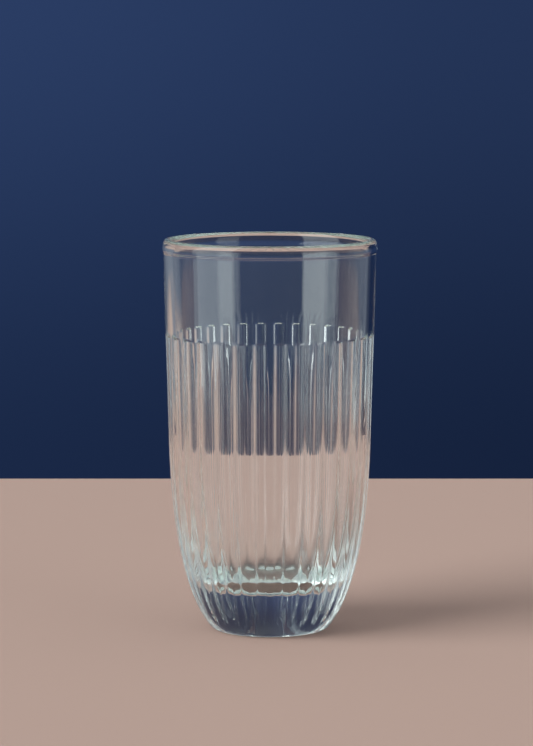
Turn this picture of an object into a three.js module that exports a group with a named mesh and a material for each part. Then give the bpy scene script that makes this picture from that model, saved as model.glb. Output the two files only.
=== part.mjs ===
// Tall fluted tumbler, pressed in one piece from clear glass.
// Millimetres, +Z up, origin at the centre of the face it stands on, front towards -Y.

import * as THREE from 'three';

// Rim: a tall rounded lip that stands out a little from the wall
const HEIGHT = 146.3;
const RIM_DIAMETER = 80;
const LIP_THICKNESS = 3.6;
const LIP_ROUND = 3.4;
const LIP_UNDERSIDE = 2;
const LIP_STAND_OUT = 0.4;

// Outside: the straight wall ends at the shoulder and turns in towards the foot
const SHOULDER_HEIGHT = 71;
const SHOULDER_DIAMETER = 75.5;
const TURN_HEIGHT = 18.7;
const FOOT_DIAMETER = 43.6;
const HEEL_ROUND = 1.5;

// Underside: a flat ring to stand on, round a shallow hollow
const HOLLOW_DIAMETER = 31;
const HOLLOW_DEPTH = 0.8;

// Inside: the wall thickens towards the bowl, and the bowl ends in a small flat floor
const BOWL_HEIGHT = 75;
const BOWL_WALL = 3.75;
const FLOOR_THICKNESS = 17;
const FLOOR_DIAMETER = 20;

// Flutes: square at the top, each narrowing to a round end above the heel
const FLUTE_COUNT = 32;
const FLUTE_DEPTH = 0.9;
const FLUTE_SQUARENESS = 1.4;
const FLUTE_TOP = 111.3;
const FLUTE_LEDGE = 0.5;
const FLUTE_END = 4.5;
const FLUTE_RUN_OUT = 15;

// Facets
const FLUTE_FACETS = 6;
const LIP_FACETS = 6;
const OUTSIDE_FACETS = 10;
const HEEL_FACETS = 2;
const INSIDE_FACETS = 6;
const HOLLOW_FACETS = 2;

const at = (radius, height) => new THREE.Vector2(radius, height);

// A point at the given height on the straight line through two others
function onLine(low, high, height) {
  return at(0, 0).lerpVectors(low, high, (height - low.y) / (high.y - low.y));
}

// The lip is widest at its middle; below that it turns back to the wall, inside it runs straight on
const lipHalf = LIP_THICKNESS / 2;
const lipMiddle = at(RIM_DIAMETER / 2 - lipHalf, HEIGHT - LIP_ROUND);
const lipTurn = Math.acos(1 - LIP_STAND_OUT / lipHalf);
const outerNeck = at(
  RIM_DIAMETER / 2 - LIP_STAND_OUT, lipMiddle.y - LIP_UNDERSIDE * Math.sin(lipTurn));
const innerNeck = at(lipMiddle.x - lipHalf, lipMiddle.y);

function lip() {
  const top = new THREE.EllipseCurve(
    lipMiddle.x, lipMiddle.y, lipHalf, LIP_ROUND, 0, Math.PI);
  return [outerNeck, ...top.getPoints(LIP_FACETS)];
}

// Underside and heel, from the axis to the foot of the wall
function foot(corner, heelTop) {
  const crown = at(0, HOLLOW_DEPTH);
  const edge = at(HOLLOW_DIAMETER / 2, 0);
  const hollow = new THREE.QuadraticBezierCurve(crown, at(edge.x / 2, HOLLOW_DEPTH), edge);
  const heel = new THREE.QuadraticBezierCurve(at(corner.x - HEEL_ROUND, 0), corner, heelTop);
  return [...hollow.getPoints(HOLLOW_FACETS), ...heel.getPoints(HEEL_FACETS)];
}

const shoulder = at(SHOULDER_DIAMETER / 2, SHOULDER_HEIGHT);

// Outside of the glass, from the axis under the foot to the top of the flutes
function outside() {
  const corner = at(FOOT_DIAMETER / 2, 0);
  const turn = onLine(shoulder, outerNeck, TURN_HEIGHT);
  const heelTop = turn.clone().sub(corner).setLength(HEEL_ROUND).add(corner);
  const wall = new THREE.QuadraticBezierCurve(heelTop, turn, shoulder);
  const ledge = onLine(shoulder, outerNeck, FLUTE_TOP - FLUTE_LEDGE);
  const fluteTop = onLine(shoulder, outerNeck, FLUTE_TOP);
  return [...foot(corner, heelTop), ...wall.getPoints(OUTSIDE_FACETS).slice(1), ledge, fluteTop];
}

// Smooth inside of the glass, from the top of the bowl to the axis on the floor
function inside() {
  const bowlTop = onLine(shoulder, outerNeck, BOWL_HEIGHT);
  bowlTop.x -= BOWL_WALL;
  const corner = onLine(bowlTop, innerNeck, FLOOR_THICKNESS);
  const floorEdge = at(FLOOR_DIAMETER / 2, FLOOR_THICKNESS);
  const bowl = new THREE.QuadraticBezierCurve(bowlTop, corner, floorEdge);
  return [...bowl.getPoints(INSIDE_FACETS), at(0, FLOOR_THICKNESS)];
}

// How deep the flutes are at a height, at a place across one of them from -0.5 to 0.5
function fluteDepth(across, height) {
  if (height <= FLUTE_END || height >= FLUTE_TOP) {
    return 0;
  }
  const runOut = Math.max(0, 1 - (height - FLUTE_END) / FLUTE_RUN_OUT);
  const width = Math.sqrt(1 - runOut * runOut);
  const turn = 2 * Math.PI * Math.min(0.5, Math.abs(across) / width);
  const wave = Math.tanh(FLUTE_SQUARENESS * Math.cos(turn)) / Math.tanh(FLUTE_SQUARENESS);
  return FLUTE_DEPTH * width * (1 + wave) / 2;
}

// The outline turned round the axis, with the flutes pressed into its outside
function flutedBody(outer, rest) {
  const outline = [...outer, ...rest];
  const body = new THREE.LatheGeometry(outline, FLUTE_COUNT * FLUTE_FACETS);
  const position = body.getAttribute('position');
  for (let index = 0; index < position.count; index++) {
    const row = index % outline.length;
    const column = Math.floor(index / outline.length);
    const across = (column % FLUTE_FACETS) / FLUTE_FACETS - 0.5;
    const depth = row < outer.length ? fluteDepth(across, outline[row].y) : 0;
    const shrink = depth > 0 ? 1 - depth / outline[row].x : 1;
    position.setX(index, position.getX(index) * shrink);
    position.setZ(index, position.getZ(index) * shrink);
  }
  return body.rotateX(Math.PI / 2);
}

const clearGlass = new THREE.MeshStandardMaterial({
  color: 0xdce8e3,
  roughness: 0.04,
  metalness: 0,
  transparent: true,
  opacity: 0.35,
});

const glassBody = new THREE.Mesh(flutedBody(outside(), [...lip(), ...inside()]), clearGlass);
glassBody.name = 'glass_body';

const tumbler = new THREE.Group();
tumbler.name = 'tall_tumbler';
tumbler.add(glassBody);

export default tumbler;
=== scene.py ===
"""Tall fluted tumbler: one piece of clear pressed glass on a pale table, in metres."""

import math

import bpy
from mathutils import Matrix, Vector
from mathutils.geometry import interpolate_bezier


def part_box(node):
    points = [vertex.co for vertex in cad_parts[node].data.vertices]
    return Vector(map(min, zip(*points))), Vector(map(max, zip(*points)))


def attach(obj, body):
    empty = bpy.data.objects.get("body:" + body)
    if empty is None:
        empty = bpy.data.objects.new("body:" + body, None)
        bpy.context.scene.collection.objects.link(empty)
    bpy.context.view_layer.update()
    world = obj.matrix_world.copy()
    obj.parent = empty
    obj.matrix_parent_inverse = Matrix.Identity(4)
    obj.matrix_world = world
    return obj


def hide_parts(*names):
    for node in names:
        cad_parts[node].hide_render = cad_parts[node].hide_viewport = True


bl_info = {
    "name": "Fluted Tumbler",
    "version": (1, 0, 0),
    "blender": (4, 5, 0),
    "location": "View3D > Sidebar > Tumbler",
    "description": "Makes a tall fluted glass tumbler and the studio that it stands in",
    "category": "Add Mesh",
}

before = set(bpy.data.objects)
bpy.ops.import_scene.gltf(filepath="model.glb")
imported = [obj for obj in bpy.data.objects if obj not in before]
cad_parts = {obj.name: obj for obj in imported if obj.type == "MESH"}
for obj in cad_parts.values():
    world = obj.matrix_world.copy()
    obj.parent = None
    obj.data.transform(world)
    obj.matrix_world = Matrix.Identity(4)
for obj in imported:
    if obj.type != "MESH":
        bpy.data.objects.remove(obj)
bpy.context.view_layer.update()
GLASS_NODE = "glass_body"
GLASS_LOW, GLASS_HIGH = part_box(GLASS_NODE)
MM = 0.001

# Rows of faces along each stretch of the outline
HOLLOW_ROWS = 10
RING_ROWS = 3
HEEL_ROWS = 6
TURN_ROWS = 72
WALL_ROWS = 12
LEDGE_ROWS = 20
BAND_ROWS = 4
LIP_UNDERSIDE_ROWS = 12
LIP_ROWS = 40
INSIDE_WALL_ROWS = 6
BOWL_ROWS = 60
FLOOR_ROWS = 4

# How far the ledge's rows reach past it, above and below, as a share of its height
LEDGE_MARGIN = 0.5

# Places across a flute, in pitches from its middle
FLANK_PLACE = 0.25
LAND_PLACE = 0.5

# Half of a flank or a ledge, as a share of its width
HALF_SLOPE = 0.5

# The least growth that a place across a flute is divided by, and the gap that a merge closes
LEAST_GROWTH = 0.001
MERGE_DISTANCE = 1e-6

# Glass: ripples run long down the wall, and fine scuffs cover part of the standing ring
RIPPLE_STRETCH = (1, 1, 0.35)
RIPPLE_DETAIL = 1.0
SCUFF_SCALE = 900.0
SCUFF_DETAIL = 3.0
SCUFF_EDGE = (0.45, 0.65)

# Table: its top lies a hair under the foot, so that the two faces don't coincide
TABLE_SIDE = 0.55
TABLE_FRONT = -0.5
TABLE_BACK = 0.365
TABLE_TOP = -0.1 * MM
TABLE_BOTTOM = -30 * MM
TABLE_ROUGHNESS = 0.8

# Room: soft edges between two values of a direction, with X right, Y away from the viewer and Z up
CEILING_EDGE = (0.7, 0.9)
FLOOR_EDGE = (-0.108, -0.128)
FLOOR_FRONT = (-0.3, 0.0)
FLOOR_DIP = 0.03
FLOOR_DIP_INNER = (0.5, 0.65)
FLOOR_DIP_OUTER = (0.92, 0.84)
BACKDROP_RISE = (-0.16, 0.02)
BACKDROP_DUSK = (0.05, 0.35)
BACKDROP_SIDES = (0.7, 0.8)
BACKDROP_LEFT = (-0.35, -0.2)
BACKDROP_TOP = (0.75, 0.6)
BACKDROP_LIT = (0.1, -0.12)
SKY_EDGE = (0.05, 0.2)

# Windows: turns from the viewer's side, to the right, and the height of the top as a direction
LEFT_WINDOW_TURNS = (math.radians(-91), math.radians(-41))
LEFT_WINDOW_TOP = 0.87
RIGHT_WINDOW_TURNS = (math.radians(37), math.radians(66))
RIGHT_WINDOW_TOP = 0.42
WINDOW_SIDE_BLUR = math.radians(1)
WINDOW_TOP_BLUR = 0.02

# Daylight: how broad it is, and its turn to the left and height over the table
DAYLIGHT_BREADTH = math.radians(40)
DAYLIGHT_TURN = math.radians(-60)
DAYLIGHT_HEIGHT = math.radians(28)

# Camera: a long lens in front of the glass, turned down a little
CAMERA_PLACE = (-0.00122, -1.1, 0.2259)
CAMERA_DIP = math.radians(6.73)
CAMERA_SENSOR = 36
CAMERA_LENS = 143.2

# Limits on how often light bounces, in and on the glass and in all
GLASS_BOUNCES = 64
ALL_BOUNCES = 96


def length(name, description, default):
    """A size in metres that a user may change."""
    return bpy.props.FloatProperty(
        name=name, description=description, default=default, min=0, unit="LENGTH", precision=5)


def colour(name, description, default):
    """A linear colour that a user may change."""
    return bpy.props.FloatVectorProperty(
        name=name, description=description, default=default, min=0, max=1, size=3, subtype="COLOR")


def amount(name, description, default):
    """A plain number that a user may change."""
    return bpy.props.FloatProperty(name=name, description=description, default=default, min=0, precision=4)


class TumblerSizes(bpy.types.PropertyGroup):
    """Sizes of the glass."""
    height: length("Height", "From the table to the top of the lip", GLASS_HIGH.z - GLASS_LOW.z)
    rim_diameter: length("Rim Diameter", "Across the widest place of the lip", GLASS_HIGH.x - GLASS_LOW.x)
    lip_thickness: length("Lip Thickness", "Across the rounded lip", 3.6 * MM)
    lip_round: length("Lip Round", "Height of the rounded top of the lip", 3.4 * MM)
    lip_underside: length("Lip Underside", "Height over which the lip turns back to the wall", 2.4 * MM)
    lip_stand_out: length("Lip Stand Out", "How far the lip stands out from the wall", 0.4 * MM)
    shoulder_height: length("Shoulder Height", "Where the straight outer wall ends", 71 * MM)
    shoulder_diameter: length("Shoulder Diameter", "Across the outer wall at the shoulder", 75.5 * MM)
    turn_height: length("Turn Height", "Where the wall and the foot would meet in a corner", 18.7 * MM)
    foot_diameter: length("Foot Diameter", "Across the foot, corner to corner", 43.6 * MM)
    heel_round: length("Heel Round", "Round between the foot and the wall", 1.5 * MM)
    hollow_diameter: length("Hollow Diameter", "Across the hollow under the foot", 31 * MM)
    hollow_depth: length("Hollow Depth", "Depth of the hollow under the foot", 0.8 * MM)
    bowl_height: length("Bowl Height", "Where the inside begins to turn in", 75 * MM)
    bowl_wall: length("Bowl Wall", "Thickness of the wall where the inside turns in", 3.75 * MM)
    floor_thickness: length("Floor Thickness", "Solid glass under the inside floor", 17 * MM)
    floor_diameter: length("Floor Diameter", "Across the flat of the inside floor", 20 * MM)


class TumblerFlutes(bpy.types.PropertyGroup):
    """Sizes of the flutes pressed into the wall."""
    count: bpy.props.IntProperty(name="Count", description="Flutes round the glass", default=32, min=3)
    columns: bpy.props.IntProperty(
        name="Columns", description="Columns of faces in a flute and its land", default=12, min=4)
    crowding: amount("Crowding", "How closely the columns are drawn together at the flanks", 0.7)
    depth: length("Depth", "From the middle of a land to the middle of a flute", 0.8 * MM)
    step: length("Step", "Part of the depth that drops away at a crisp flank", 0.3 * MM)
    flank: amount("Flank", "Width of a sloping flank, as a share of the pitch", 0.1)
    top: length("Top", "Height of the square upper ends", 111.3 * MM)
    ledge: length("Ledge", "Height of the slope at the upper ends", 1.0 * MM)
    corner: amount("Corner", "Round of the upper corners, as a share of the flank and the ledge", 0.6)
    end: length("End", "Height of the lowest points", 4.5 * MM)
    run_out: length("Run-out", "Height over which the flutes grow from nothing", 15 * MM)
    crown_rise: length("Crown Rise", "Height below the tops over which the lands become crowned", 25 * MM)
    flat_below: length("Flat Below", "Height below which the flutes and lands are flat across", 5 * MM)
    full_above: length("Full Above", "Height above which the flutes have their full depth", 40 * MM)


class TumblerGlass(bpy.types.PropertyGroup):
    """Finish of the glass."""
    tint: colour("Tint", "Colour that light takes on in thick glass", (0.55, 0.85, 0.75))
    tint_density: amount("Tint Density", "Strength of the tint per metre of glass", 2.6)
    refraction: amount("Refraction", "Index of refraction", 1.52)
    ripple: length("Ripple", "Depth of the slow ripple left by pressing", 0.003 * MM)
    ripple_scale: amount("Ripple Scale", "Ripples per metre", 70.0)
    worn_roughness: amount("Worn Roughness", "Roughness of the ring that it stands on", 0.25)


class TumblerStage(bpy.types.PropertyGroup):
    """Colours and brightness of the table, the room, the windows and the daylight."""
    table: colour("Table", "Colour of the table", (0.72, 0.47, 0.395))
    backdrop_low: colour("Backdrop Low", "Colour of the backdrop near the table", (0.0077, 0.0159, 0.0455))
    backdrop_high: colour("Backdrop High", "Colour of the backdrop higher up", (0.0180, 0.0352, 0.0950))
    backdrop_top: colour("Backdrop Top", "Colour of the backdrop above the picture", (0.007, 0.015, 0.042))
    # Painted light on the backdrop: how much lighter its left side is made
    backdrop_fall: amount("Backdrop Fall", "How much lighter the backdrop is on the left", 0.35)
    backdrop_spread: amount("Backdrop Spread", "How much wider the backdrop is higher up", 1.0)
    room: colour("Room", "Colour of the room round the table", (0.17, 0.20, 0.25))
    ceiling: colour("Ceiling", "Colour of the soft light overhead", (0.60, 0.64, 0.60))
    floor: colour("Floor", "Colour of the floor beside the table", (0.55, 0.42, 0.35))
    lamps: colour("Lamps", "Colour of the windows and the daylight", (0.90, 1.0, 1.0))
    daylight: amount("Daylight", "Strength of the broad soft light from the left", 0.72)
    left_window: amount("Left Window", "Brightness of the window on the left", 1.8)
    sky: amount("Sky", "How much brighter the upper part of the window on the left is", 1.05)
    right_window: amount("Right Window", "Brightness of the window on the right", 1.3)


def at(radius, height):
    """A point of the outline: distance from the axis, and height."""
    return Vector((radius, height))


def on_line(low, high, height):
    """The point at a height on the straight line through two others."""
    return low.lerp(high, (height - low.y) / (high.y - low.y))


def line(start, end, steps):
    """Points after the start on a straight line."""
    return [start.lerp(end, step / steps) for step in range(1, steps + 1)]


def bend(start, middle, end, steps):
    """Points after the start on a curve that heads for the middle point from both ends."""
    return [start.lerp(middle, step / steps).lerp(middle.lerp(end, step / steps), step / steps)
            for step in range(1, steps + 1)]


def sway(start, start_aim, end, end_aim, steps):
    """Points after the start on a curve that leaves and arrives in given directions."""
    points = interpolate_bezier(
        start.to_3d(), start_aim.to_3d(), end_aim.to_3d(), end.to_3d(), steps + 1)
    return [point.to_2d() for point in points[1:]]


def foot_outline(sizes, corner, heel_top):
    """Underside and heel, from the axis to the foot of the wall."""
    crown = at(0, sizes.hollow_depth)
    edge = at(sizes.hollow_diameter / 2, 0)
    heel = at(corner.x - sizes.heel_round, 0)
    points = [crown, *bend(crown, at(edge.x / 2, crown.y), edge, HOLLOW_ROWS)]
    points += line(edge, heel, RING_ROWS)
    return points + bend(heel, corner, heel_top, HEEL_ROWS)


def lip_outline(sizes, wall_top, middle):
    """The lip, from the wall outside it to the wall inside it."""
    half = sizes.lip_thickness / 2
    widest = at(middle.x + half, middle.y)
    rise = at(0, (widest.y - wall_top.y) / 2)
    points = sway(wall_top, wall_top + rise, widest, widest - rise, LIP_UNDERSIDE_ROWS)
    for row in range(1, LIP_ROWS + 1):
        turn = math.pi * row / LIP_ROWS
        points.append(middle + at(half * math.cos(turn), sizes.lip_round * math.sin(turn)))
    return points


def outline(sizes, flutes):
    """Outside and inside of the glass as two runs of points, which together go from axis to axis."""
    middle = at((sizes.rim_diameter - sizes.lip_thickness) / 2, sizes.height - sizes.lip_round)
    wall_top = at(sizes.rim_diameter / 2 - sizes.lip_stand_out, middle.y - sizes.lip_underside)
    shoulder = at(sizes.shoulder_diameter / 2, sizes.shoulder_height)
    corner = at(sizes.foot_diameter / 2, 0)
    turn = on_line(shoulder, wall_top, sizes.turn_height)
    heel_top = corner + (turn - corner).normalized() * sizes.heel_round
    below_ledge = on_line(shoulder, wall_top, flutes.top - (1 + LEDGE_MARGIN) * flutes.ledge)
    above_ledge = on_line(shoulder, wall_top, flutes.top + LEDGE_MARGIN * flutes.ledge)

    outside = foot_outline(sizes, corner, heel_top)
    outside += bend(heel_top, turn, shoulder, TURN_ROWS)
    outside += line(shoulder, below_ledge, WALL_ROWS)
    outside += line(below_ledge, above_ledge, LEDGE_ROWS)
    outside += line(above_ledge, wall_top, BAND_ROWS)

    inside = lip_outline(sizes, wall_top, middle)
    neck = inside[-1]
    bowl_top = on_line(shoulder, wall_top, sizes.bowl_height) - at(sizes.bowl_wall, 0)
    floor_corner = on_line(bowl_top, neck, sizes.floor_thickness)
    floor_edge = at(sizes.floor_diameter / 2, sizes.floor_thickness)
    inside += line(neck, bowl_top, INSIDE_WALL_ROWS)
    inside += bend(bowl_top, floor_corner, floor_edge, BOWL_ROWS)
    inside += line(floor_edge, at(0, sizes.floor_thickness), FLOOR_ROWS)
    return outside, inside


def outline_mesh(sizes, flutes):
    """The outline as a chain of edges in the XZ plane, with the outside marked."""
    outside, inside = outline(sizes, flutes)
    points = outside + inside
    mesh = bpy.data.meshes.new("tumbler_outline")
    mesh.from_pydata(
        [(point.x, 0, point.y) for point in points],
        [(index, index + 1) for index in range(len(points) - 1)], [])
    mark = mesh.attributes.new("outside", "FLOAT", "POINT")
    mark.data.foreach_set("value", [1.0] * len(outside) + [0.0] * len(inside))
    return mesh


class Nodes:
    """Adds nodes to a tree and feeds their inputs from values or other nodes' outputs."""

    def __init__(self, tree):
        self.tree = tree

    def feed(self, socket, value):
        """Link an output to the socket, or set a value on it."""
        if isinstance(value, bpy.types.NodeSocket):
            self.tree.links.new(value, socket)
        else:
            socket.default_value = value

    def add(self, kind, settings=None, **inputs):
        """A new node with its settings and its inputs, whose names have _ for a space."""
        node = self.tree.nodes.new(kind)
        for name, value in (settings or {}).items():
            setattr(node, name, value)
        for name, value in inputs.items():
            self.feed(node.inputs[name.replace("_", " ")], value)
        return node

    def math(self, operation, *values):
        """The result of a calculation with one to three values."""
        node = self.add("ShaderNodeMath", {"operation": operation})
        for socket, value in zip(node.inputs, values):
            self.feed(socket, value)
        return node.outputs[0]

    def smooth(self, value, low, high):
        """Rises smoothly from 0 where the value is low to 1 where it is high."""
        node = self.add(
            "ShaderNodeMapRange", {"interpolation_type": "SMOOTHSTEP"},
            Value=value, From_Min=low, From_Max=high)
        return node.outputs["Result"]

    def mix(self, share, first, second):
        """Goes from the first colour to the second as the share goes from 0 to 1."""
        node = self.add("ShaderNodeMix", {"data_type": "RGBA"})
        inputs = {socket.identifier: socket for socket in node.inputs}
        outputs = {socket.identifier: socket for socket in node.outputs}
        self.feed(inputs["Factor_Float"], share)
        for name, value in (("A_Color", first), ("B_Color", second)):
            self.feed(inputs[name], value if isinstance(value, bpy.types.NodeSocket) else (*value, 1))
        return outputs["Result_Color"]


def climb(nodes, height, start, rise):
    """Grows from 0 at the start to 1 after the rise, steep at first like the side of a circle."""
    done = nodes.math("DIVIDE", nodes.math("SUBTRACT", height, start), rise)
    left = nodes.math("SUBTRACT", 1.0, nodes.math("MINIMUM", nodes.math("MAXIMUM", done, 0.0), 1.0))
    return nodes.math("SQRT", nodes.math("SUBTRACT", 1.0, nodes.math("MULTIPLY", left, left)))


def flute_edge(nodes, given, across, height):
    """How much of the step into a flute is made: 0 on the land, 1 in the flute, with round corners."""
    beside = nodes.math("DIVIDE", nodes.math("SUBTRACT", across, FLANK_PLACE), given["Flank"])
    beside = nodes.math("ADD", beside, given["Corner"])
    over = nodes.math("DIVIDE", nodes.math("SUBTRACT", height, given["Top"]), given["Ledge"])
    over = nodes.math("ADD", nodes.math("ADD", over, HALF_SLOPE), given["Corner"])
    outer = nodes.math("SQRT", nodes.math(
        "ADD",
        nodes.math("POWER", nodes.math("MAXIMUM", beside, 0.0), 2.0),
        nodes.math("POWER", nodes.math("MAXIMUM", over, 0.0), 2.0)))
    inner = nodes.math("MINIMUM", nodes.math("MAXIMUM", beside, over), 0.0)
    edge = nodes.math("SUBTRACT", nodes.math("ADD", outer, inner), given["Corner"])
    return nodes.smooth(edge, HALF_SLOPE, -HALF_SLOPE)


def flute_depth(nodes, given, across, height):
    """Depth of the flutes from the place across one of them, in pitches, and the height."""
    growth = climb(nodes, height, given["End"], given["Run-out"])
    across = nodes.math("DIVIDE", across, nodes.math("MAXIMUM", growth, LEAST_GROWTH))
    across = nodes.math("MINIMUM", across, LAND_PLACE)
    edge = flute_edge(nodes, given, across, height)

    # Half of what the step leaves of the depth hollows the flute, and half crowns the land
    bow = nodes.math("DIVIDE", nodes.math("SUBTRACT", given["Depth"], given["Step"]), 2.0)
    rise = nodes.smooth(height, given["Flat Below"], given["Full Above"])
    bow = nodes.math("MULTIPLY", bow, rise)

    hollow = nodes.math("POWER", nodes.math("DIVIDE", across, FLANK_PLACE), 2.0)
    hollow = nodes.math("MAXIMUM", nodes.math("SUBTRACT", 1.0, hollow), 0.0)
    hollow = nodes.math("ADD", nodes.math("MULTIPLY", hollow, bow), given["Step"])
    hollow = nodes.math("MULTIPLY", hollow, edge)

    # The lands are flush with the band at the tops, and become crowned below them
    crown = nodes.math("SUBTRACT", LAND_PLACE, across)
    crown = nodes.math("DIVIDE", crown, LAND_PLACE - FLANK_PLACE)
    crown = nodes.math("POWER", nodes.math("MINIMUM", crown, 1.0), 2.0)
    crown_foot = nodes.math("SUBTRACT", given["Top"], given["Crown Rise"])
    crowned = nodes.smooth(height, given["Top"], crown_foot)
    crown = nodes.math("MULTIPLY_ADD", nodes.math("SUBTRACT", crown, edge), crowned, edge)

    depth = nodes.math("MULTIPLY_ADD", crown, bow, hollow)
    return nodes.math("MULTIPLY", depth, growth)


def tree_sockets(tree):
    """Inputs and output of the tree that makes the fluted body."""
    sockets = tree.interface
    sockets.new_socket("Geometry", in_out="OUTPUT", socket_type="NodeSocketGeometry")
    sockets.new_socket("Outline", in_out="INPUT", socket_type="NodeSocketGeometry")
    for name in ("Count", "Columns"):
        sockets.new_socket(name, in_out="INPUT", socket_type="NodeSocketInt")
    for name in ("Crowding", "Depth", "Step", "Flank", "Top", "Ledge", "Corner", "End", "Run-out",
                 "Crown Rise", "Flat Below", "Full Above"):
        sockets.new_socket(name, in_out="INPUT", socket_type="NodeSocketFloat")
    sockets.new_socket("Glass", in_out="INPUT", socket_type="NodeSocketMaterial")


def outline_values(nodes, outline_points, row):
    """Place of a point of the outline, and its mark: 1 on the outside, 0 on the inside."""
    place = nodes.add("GeometryNodeInputPosition").outputs["Position"]
    point = nodes.add(
        "GeometryNodeSampleIndex", {"data_type": "FLOAT_VECTOR"},
        Geometry=outline_points, Value=place, Index=row)
    point = nodes.add("ShaderNodeSeparateXYZ", Vector=point.outputs["Value"]).outputs
    mark = nodes.add("GeometryNodeInputNamedAttribute", {"data_type": "FLOAT"}, Name="outside")
    mark = nodes.add(
        "GeometryNodeSampleIndex", {"data_type": "FLOAT"},
        Geometry=outline_points, Value=mark.outputs["Attribute"], Index=row)
    return point, mark.outputs["Value"]


def column_place(nodes, given, column):
    """Place of a column round the glass, in pitches, drawn towards the two flanks of its flute."""
    pitches = nodes.math("DIVIDE", column, given["Columns"])
    two_waves = 2 * math.tau
    drawn = nodes.math("SINE", nodes.math("MULTIPLY", pitches, two_waves))
    drawn = nodes.math("MULTIPLY", drawn, nodes.math("DIVIDE", given["Crowding"], two_waves))
    return nodes.math("ADD", pitches, drawn)


def fluted_body_tree():
    """Geometry Nodes that turn an outline round the Z axis and press flutes into its outside."""
    tree = bpy.data.node_groups.new("Fluted Body", "GeometryNodeTree")
    tree_sockets(tree)
    nodes = Nodes(tree)
    given = nodes.add("NodeGroupInput").outputs
    rows = nodes.add("GeometryNodeAttributeDomainSize", Geometry=given["Outline"]).outputs["Point Count"]
    around = nodes.math("MULTIPLY", given["Count"], given["Columns"])
    grid = nodes.add(
        "GeometryNodeMeshGrid", Vertices_X=nodes.math("ADD", around, 1.0), Vertices_Y=rows)

    # Half an index is added so that rounding can't move a point to the column before
    index = nodes.add("GeometryNodeInputIndex").outputs["Index"]
    row = nodes.math("FLOORED_MODULO", index, rows)
    column = nodes.math("FLOOR", nodes.math("DIVIDE", nodes.math("ADD", index, 0.5), rows))
    point, mark = outline_values(nodes, given["Outline"], row)
    pitches = column_place(nodes, given, column)

    # The middle of a flute lies halfway between two whole pitches
    across = nodes.math("ABSOLUTE", nodes.math("SUBTRACT", nodes.math("FRACT", pitches), 0.5))
    depth = flute_depth(nodes, given, across, point["Z"])
    depth = nodes.math("MULTIPLY", depth, mark)
    radius = nodes.math("SUBTRACT", point["X"], depth)
    angle = nodes.math("DIVIDE", nodes.math("MULTIPLY", pitches, math.tau), given["Count"])
    turned = nodes.add(
        "ShaderNodeCombineXYZ",
        X=nodes.math("MULTIPLY", radius, nodes.math("SINE", angle)),
        Y=nodes.math("MULTIPLY", radius, nodes.math("MULTIPLY", nodes.math("COSINE", angle), -1.0)),
        Z=point["Z"])

    body = nodes.add(
        "GeometryNodeSetPosition", Geometry=grid.outputs["Mesh"], Position=turned.outputs["Vector"])
    body = nodes.add(
        "GeometryNodeMergeByDistance", Geometry=body.outputs["Geometry"], Distance=MERGE_DISTANCE)
    body = nodes.add("GeometryNodeSetShadeSmooth", Geometry=body.outputs["Geometry"])
    body = nodes.add("GeometryNodeRealizeInstances", Geometry=body.outputs["Geometry"])
    body = nodes.add(
        "GeometryNodeSetMaterial", Geometry=body.outputs["Geometry"], Material=given["Glass"])
    nodes.add("NodeGroupOutput", Geometry=body.outputs["Geometry"])
    return tree


def pressed_glass(finish, sizes):
    """Clear pressed glass: a faint tint in its depth, slow ripples, and a ring worn by standing."""
    material = bpy.data.materials.new("clear_pressed_glass")
    material.use_nodes = True
    nodes = Nodes(material.node_tree)
    shader = material.node_tree.nodes["Principled BSDF"]
    output = material.node_tree.nodes["Material Output"]
    shader.inputs["Base Color"].default_value = (1, 1, 1, 1)
    shader.inputs["Transmission Weight"].default_value = 1
    shader.inputs["IOR"].default_value = finish.refraction

    place = nodes.add("ShaderNodeTexCoord").outputs["Object"]
    stretched = nodes.add("ShaderNodeMapping", Vector=place, Scale=RIPPLE_STRETCH)
    ripple = nodes.add(
        "ShaderNodeTexNoise",
        Vector=stretched.outputs["Vector"], Scale=finish.ripple_scale, Detail=RIPPLE_DETAIL)
    bump = nodes.add(
        "ShaderNodeBump", Height=ripple.outputs["Fac"], Strength=1.0, Distance=finish.ripple)
    nodes.feed(shader.inputs["Normal"], bump.outputs["Normal"])

    height = nodes.add("ShaderNodeSeparateXYZ", Vector=place).outputs["Z"]
    low = nodes.smooth(height, sizes.hollow_depth, 0.0)
    scuffs = nodes.add("ShaderNodeTexNoise", Vector=place, Scale=SCUFF_SCALE, Detail=SCUFF_DETAIL)
    scuffed = nodes.smooth(scuffs.outputs["Fac"], *SCUFF_EDGE)
    worn = nodes.math("MULTIPLY", nodes.math("MULTIPLY", low, scuffed), finish.worn_roughness)
    nodes.feed(shader.inputs["Roughness"], worn)

    depth = nodes.add(
        "ShaderNodeVolumeAbsorption", Color=(*finish.tint, 1), Density=finish.tint_density)
    nodes.feed(output.inputs["Volume"], depth.outputs["Volume"])
    return material


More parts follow.
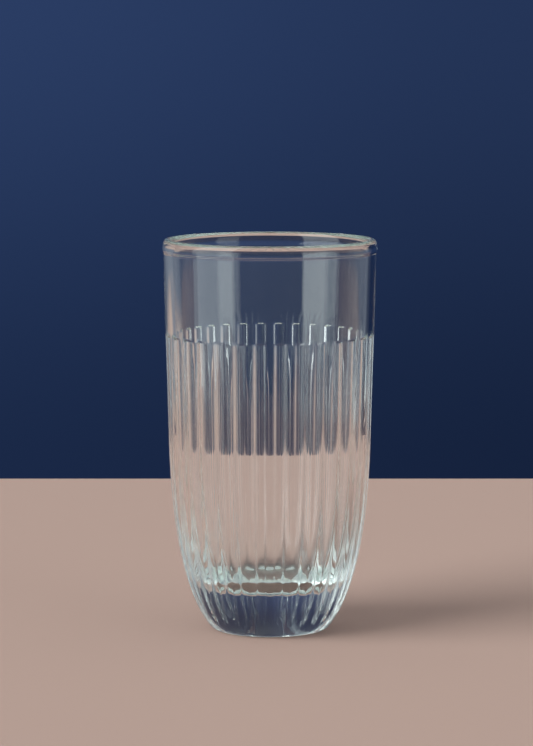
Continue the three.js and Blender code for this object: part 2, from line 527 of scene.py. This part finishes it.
class TUMBLER_OT_glass_body(bpy.types.Operator):
    """Make the fluted glass from its outline"""
    bl_idname = "tumbler.glass_body"
    bl_label = "Glass Body"

    def execute(self, context):
        scene = context.scene
        sizes, flutes = scene.tumbler_sizes, scene.tumbler_flutes
        glass = bpy.data.objects.new("fluted_glass", outline_mesh(sizes, flutes))
        scene.collection.objects.link(glass)
        tree = fluted_body_tree()
        given = {
            "Count": flutes.count, "Columns": flutes.columns, "Crowding": flutes.crowding,
            "Depth": flutes.depth, "Step": flutes.step, "Flank": flutes.flank,
            "Top": flutes.top, "Ledge": flutes.ledge, "Corner": flutes.corner,
            "End": flutes.end, "Run-out": flutes.run_out, "Crown Rise": flutes.crown_rise,
            "Flat Below": flutes.flat_below, "Full Above": flutes.full_above,
            "Glass": pressed_glass(scene.tumbler_glass, sizes),
        }
        maker = glass.modifiers.new("Fluted Body", "NODES")
        maker.node_group = tree
        for socket in tree.interface.items_tree:
            if socket.in_out == "INPUT" and socket.name in given:
                maker[socket.identifier] = given[socket.name]
        context.view_layer.update()
        made = glass.evaluated_get(context.evaluated_depsgraph_get())
        mesh = bpy.data.meshes.new_from_object(made)
        glass.modifiers.remove(maker)
        glass.data = mesh
        mesh.name = "fluted_glass"
        if not mesh.polygons:
            raise RuntimeError("the fluted body has no faces")
        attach(glass, "root")
        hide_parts(GLASS_NODE)
        return {"FINISHED"}


def table_top(scene, look):
    """A plain matt table that ends a little way behind the glass."""
    plan = ((-TABLE_SIDE, TABLE_FRONT), (TABLE_SIDE, TABLE_FRONT),
            (TABLE_SIDE, TABLE_BACK), (-TABLE_SIDE, TABLE_BACK))
    corners = [(x, y, z) for z in (TABLE_BOTTOM, TABLE_TOP) for x, y in plan]
    faces = [(3, 2, 1, 0), (4, 5, 6, 7), (0, 1, 5, 4), (1, 2, 6, 5), (2, 3, 7, 6), (3, 0, 4, 7)]
    mesh = bpy.data.meshes.new("table")
    mesh.from_pydata(corners, [], faces)
    material = bpy.data.materials.new("pale_table")
    material.use_nodes = True
    shader = material.node_tree.nodes["Principled BSDF"]
    shader.inputs["Base Color"].default_value = (*look.table, 1)
    shader.inputs["Roughness"].default_value = TABLE_ROUGHNESS
    mesh.materials.append(material)
    table = bpy.data.objects.new("table", mesh)
    scene.collection.objects.link(table)


def window(nodes, aim, turns, top):
    """Where a window is: between two turns from the viewer's side, and below its top."""
    first, last = turns
    turn = nodes.math("ARCTAN2", aim["X"], nodes.math("MULTIPLY", aim["Y"], -1.0))
    inside = nodes.math(
        "MULTIPLY",
        nodes.smooth(turn, first - WINDOW_SIDE_BLUR, first + WINDOW_SIDE_BLUR),
        nodes.smooth(turn, last + WINDOW_SIDE_BLUR, last - WINDOW_SIDE_BLUR))
    below = nodes.smooth(aim["Z"], top + WINDOW_TOP_BLUR, top - WINDOW_TOP_BLUR)
    return nodes.math("MULTIPLY", inside, below)


def floor_share(nodes, aim):
    """Where the floor is: low down, except on the viewer's side, and lower still at a slant."""
    sideways = nodes.math("ABSOLUTE", aim["X"])
    slant = nodes.math(
        "MULTIPLY",
        nodes.smooth(sideways, *FLOOR_DIP_INNER), nodes.smooth(sideways, *FLOOR_DIP_OUTER))
    height = nodes.math("MULTIPLY_ADD", slant, FLOOR_DIP, aim["Z"])
    return nodes.math(
        "MULTIPLY", nodes.smooth(height, *FLOOR_EDGE), nodes.smooth(aim["Y"], *FLOOR_FRONT))


def backdrop_share(nodes, aim, spread):
    """Where the backdrop is: behind the glass, wider higher up, and not overhead."""
    wider = nodes.math("MULTIPLY", nodes.math("MAXIMUM", aim["Z"], 0.0), spread)
    behind = nodes.math(
        "MULTIPLY",
        nodes.smooth(nodes.math("ADD", aim["Y"], wider), *BACKDROP_SIDES),
        nodes.smooth(nodes.math("ADD", aim["X"], wider), *BACKDROP_LEFT))
    return nodes.math("MULTIPLY", behind, nodes.smooth(aim["Z"], *BACKDROP_TOP))


def backdrop_tone(nodes, aim, look):
    """Colour of the backdrop: darkest near the table and above the picture."""
    tone = nodes.mix(nodes.smooth(aim["Z"], *BACKDROP_RISE), look.backdrop_low, look.backdrop_high)
    return nodes.mix(nodes.smooth(aim["Z"], *BACKDROP_DUSK), tone, look.backdrop_top)


def room(scene, look):
    """A plain room with two tall windows, and a dark backdrop behind the glass."""
    world = bpy.data.worlds.new("studio")
    world.use_nodes = True
    scene.world = world
    nodes = Nodes(world.node_tree)
    aim = nodes.add("ShaderNodeTexCoord").outputs["Generated"]
    aim = nodes.add("ShaderNodeSeparateXYZ", Vector=aim).outputs
    behind = backdrop_share(nodes, aim, look.backdrop_spread)
    left = window(nodes, aim, LEFT_WINDOW_TURNS, LEFT_WINDOW_TOP)
    right = window(nodes, aim, RIGHT_WINDOW_TURNS, RIGHT_WINDOW_TOP)

    tone = nodes.mix(nodes.smooth(aim["Z"], *CEILING_EDGE), look.room, look.ceiling)
    tone = nodes.mix(floor_share(nodes, aim), tone, look.floor)
    tone = nodes.mix(behind, tone, backdrop_tone(nodes, aim, look))
    tone = nodes.mix(nodes.math("ADD", left, right), tone, look.lamps)

    # Painted light: the backdrop is made lighter towards the left, where light spills onto it
    lit = nodes.math("MULTIPLY", nodes.smooth(aim["X"], *BACKDROP_LIT), look.backdrop_fall)
    sky = nodes.math("MULTIPLY", left, nodes.smooth(aim["Z"], *SKY_EDGE))
    strength = nodes.math("MULTIPLY_ADD", lit, behind, 1.0)
    strength = nodes.math("MULTIPLY_ADD", left, look.left_window - 1, strength)
    strength = nodes.math("MULTIPLY_ADD", sky, look.sky, strength)
    strength = nodes.math("MULTIPLY_ADD", right, look.right_window - 1, strength)

    background = world.node_tree.nodes["Background"]
    nodes.feed(background.inputs["Color"], tone)
    nodes.feed(background.inputs["Strength"], strength)


def daylight(scene, look):
    """Broad soft light on the table from the left, a little in front, without a glint in the glass."""
    lamp = bpy.data.lights.new("daylight", "SUN")
    lamp.color = look.lamps
    lamp.energy = look.daylight
    lamp.angle = DAYLIGHT_BREADTH
    holder = bpy.data.objects.new("daylight", lamp)
    holder.rotation_euler = (math.pi / 2 - DAYLIGHT_HEIGHT, 0, DAYLIGHT_TURN)
    holder.visible_glossy = False
    holder.visible_transmission = False
    scene.collection.objects.link(holder)


def front_camera(scene):
    """The camera, a little above the rim and turned down."""
    camera = bpy.data.cameras.new("camera")
    camera.sensor_width = CAMERA_SENSOR
    camera.lens = CAMERA_LENS
    holder = bpy.data.objects.new("camera", camera)
    holder.location = CAMERA_PLACE
    holder.rotation_euler = (math.pi / 2 - CAMERA_DIP, 0, 0)
    scene.collection.objects.link(holder)
    scene.camera = holder


class TUMBLER_OT_stage(bpy.types.Operator):
    """Make the table, the room with its backdrop and windows, the daylight and the camera"""
    bl_idname = "tumbler.stage"
    bl_label = "Stage"

    def execute(self, context):
        scene = context.scene
        look = scene.tumbler_stage
        table_top(scene, look)
        room(scene, look)
        daylight(scene, look)
        front_camera(scene)
        scene.view_settings.view_transform = "Standard"
        scene.cycles.max_bounces = ALL_BOUNCES
        scene.cycles.transmission_bounces = GLASS_BOUNCES
        scene.cycles.glossy_bounces = GLASS_BOUNCES
        return {"FINISHED"}


class TUMBLER_PT_panel(bpy.types.Panel):
    """Sizes, finish and stage of the tumbler"""
    bl_idname = "TUMBLER_PT_panel"
    bl_label = "Tumbler"
    bl_space_type = "VIEW_3D"
    bl_region_type = "UI"
    bl_category = "Tumbler"

    def draw(self, context):
        for operator in OPERATORS:
            self.layout.operator(operator.bl_idname)
        for name, group in GROUPS.items():
            box = self.layout.box()
            for field in group.__annotations__:
                box.prop(getattr(context.scene, name), field)


GROUPS = {
    "tumbler_sizes": TumblerSizes,
    "tumbler_flutes": TumblerFlutes,
    "tumbler_glass": TumblerGlass,
    "tumbler_stage": TumblerStage,
}
OPERATORS = (TUMBLER_OT_glass_body, TUMBLER_OT_stage)
CLASSES = (*GROUPS.values(), *OPERATORS, TUMBLER_PT_panel)


def register():
    for cls in CLASSES:
        bpy.utils.register_class(cls)
    for name, group in GROUPS.items():
        setattr(bpy.types.Scene, name, bpy.props.PointerProperty(type=group))


def unregister():
    for name in GROUPS:
        delattr(bpy.types.Scene, name)
    for cls in reversed(CLASSES):
        bpy.utils.unregister_class(cls)


def main():
    register()
    bpy.ops.tumbler.glass_body()
    bpy.ops.tumbler.stage()


if __name__ == "__main__":
    main()
